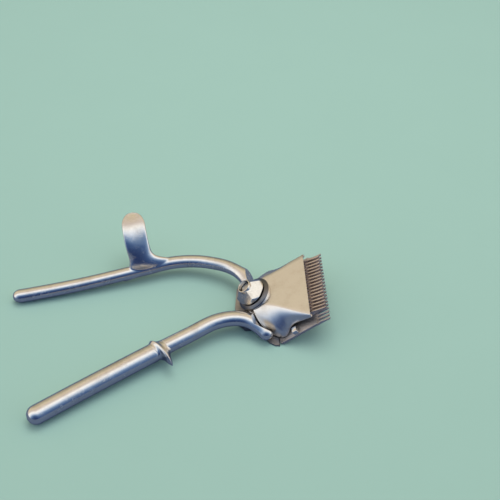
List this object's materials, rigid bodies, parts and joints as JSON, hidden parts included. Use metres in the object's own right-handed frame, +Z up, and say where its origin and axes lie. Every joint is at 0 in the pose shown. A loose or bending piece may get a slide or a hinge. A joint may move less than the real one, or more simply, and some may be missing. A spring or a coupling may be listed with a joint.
{
  "type": "hair clipper",
  "caption": "Hand-squeezed steel hair clipper with a comb blade, a sliding cutter, a pressure cap, a tension nut and two long handles.",
  "frame": {"origin": "middle of the footprint's box, on the surface the clipper lies on", "axes": "+X from the handles to the teeth, +Y from the fixed handle to the moving handle, +Z up"},
  "size_m": [0.1776, 0.1226, 0.0323],
  "materials": {
    "handle_plating": "polished nickel plating with fine scratches",
    "cap_plating": "bright nickel plating, finely scratched and a little grainy",
    "nut_plating": "polished nickel plating, worn at the edges",
    "frame_steel": "dull grey steel, plating worn thin",
    "blade_steel": "surface ground, grey and slightly grainy",
    "cutter_steel": "surface ground teeth, light brownish grey",
    "dark_steel": "dark oiled steel",
    "stud_steel": "turned steel",
    "spring_steel": "drawn spring wire",
    "brass": "turned brass, oiled",
    "fastener_steel": "turned steel pins and screws"
  },
  "bodies": {
    "frame": {"head_frame": "frame_steel", "fixed_handle": "handle_plating", "finger_guard": "handle_plating", "lower_blade": "blade_steel", "pressure_cap": "cap_plating", "stud": "stud_steel", "thrust_washer": "brass", "collar_washer": "dark_steel", "spring_washer": "dark_steel", "blade_screw_near": "fastener_steel", "blade_screw_far": "fastener_steel", "blade_dowel_near": "fastener_steel", "blade_dowel_far": "fastener_steel", "cap_dowel_near": "fastener_steel", "cap_dowel_far": "fastener_steel", "cutter_guide_near": "blade_steel", "cutter_guide_far": "blade_steel", "handle_rivet_front": "fastener_steel", "handle_rivet_rear": "fastener_steel", "stop_pin": "fastener_steel", "return_spring": "spring_steel"},
    "lever": {"moving_handle": "handle_plating", "pivot_bush": "brass", "drive_pin": "fastener_steel", "drive_roller": "brass"},
    "cutter": {"upper_blade": "cutter_steel"},
    "nut": {"tension_nut": "nut_plating"}
  },
  "joints": [
    {"name": "handle_squeeze", "type": "hinge", "parent": "frame", "child": "lever", "pos_m": [0.06029, 0.01024, -0.0003], "axis": [-0.6157, 0, 0.788], "range_deg": [0, 22], "stiffness_Nm_per_rad": 0.5, "springref_deg": -11.46, "deforming": ["return_spring"]},
    {"name": "cutter_slide", "type": "slide", "parent": "frame", "child": "cutter", "axis": [0, 1, 0], "range_m": [0, 0.0047]},
    {"name": "nut_turn", "type": "hinge", "parent": "frame", "child": "nut", "pos_m": [0.06029, 0.01024, -0.0003], "axis": [-0.6157, 0, 0.788], "range_deg": [-180, 180]}
  ],
  "couplings": [
    {"joint": "cutter_slide", "follows": "handle_squeeze", "m_per_rad": 0.012}
  ]
}
